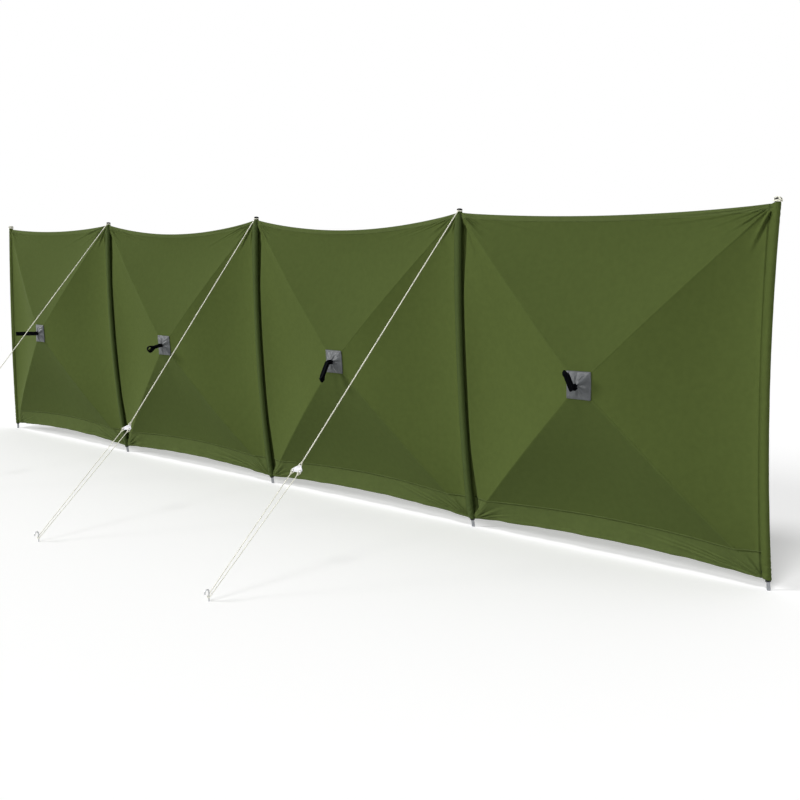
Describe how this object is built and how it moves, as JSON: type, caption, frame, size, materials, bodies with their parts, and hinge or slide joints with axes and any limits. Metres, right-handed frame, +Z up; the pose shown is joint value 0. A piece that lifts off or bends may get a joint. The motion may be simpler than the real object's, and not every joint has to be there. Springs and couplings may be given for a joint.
{
  "type": "beach windbreak",
  "caption": "Free-standing cloth windbreak in square bays, each pushed out by a hub with four bowed struts, with poles, guy lines and pegs.",
  "frame": {"origin": "on the ground, in the flat lower face of the middle pole's foot", "axes": "+X along the row, -Y to the front where the hubs and guy lines are, +Z up"},
  "size_m": [6.419, 1.7397, 1.619],
  "materials": {
    "panel_cloth": "olive coated polyester",
    "skirt_cloth": "olive coated polyester",
    "sleeve_cloth": "olive coated polyester, doubled",
    "patch_cloth": "grey reinforcing cloth",
    "webbing": "black webbing",
    "hub_plastic": "black moulded nylon",
    "bracket_plastic": "black moulded nylon",
    "strut_rod": "black glass-fibre rod",
    "pole_steel": "zinc-plated tube",
    "foot_steel": "zinc-plated steel",
    "peg_steel": "zinc-plated wire",
    "guy_cord": "cream braided cord",
    "runner_plastic": "white moulded plastic"
  },
  "bodies": {
    "root": {"panel_1": "panel_cloth", "panel_2": "panel_cloth", "panel_3": "panel_cloth", "panel_4": "panel_cloth", "skirt_1": "skirt_cloth", "skirt_2": "skirt_cloth", "skirt_3": "skirt_cloth", "skirt_4": "skirt_cloth", "hub_patch_1": "patch_cloth", "hub_patch_2": "patch_cloth", "hub_patch_3": "patch_cloth", "hub_patch_4": "patch_cloth", "pull_strap_1": "webbing", "pull_strap_2": "webbing", "pull_strap_3": "webbing", "pull_strap_4": "webbing", "hub_1": "hub_plastic", "hub_2": "hub_plastic", "hub_3": "hub_plastic", "hub_4": "hub_plastic", "struts_1": "strut_rod", "struts_2": "strut_rod", "struts_3": "strut_rod", "struts_4": "strut_rod", "pole_1": "pole_steel", "pole_2": "pole_steel", "pole_3": "pole_steel", "pole_4": "pole_steel", "pole_5": "pole_steel", "pole_sleeve_1": "sleeve_cloth", "pole_sleeve_2": "sleeve_cloth", "pole_sleeve_3": "sleeve_cloth", "pole_sleeve_4": "sleeve_cloth", "pole_sleeve_5": "sleeve_cloth", "guy_line_2": "guy_cord", "guy_line_3": "guy_cord", "guy_line_4": "guy_cord", "hub_sockets": "hub_plastic", "top_brackets": "bracket_plastic", "bottom_brackets": "bracket_plastic", "feet": "foot_steel", "wound_cords": "guy_cord", "guy_runners": "runner_plastic", "pegs": "peg_steel"}
  },
  "joints": []
}
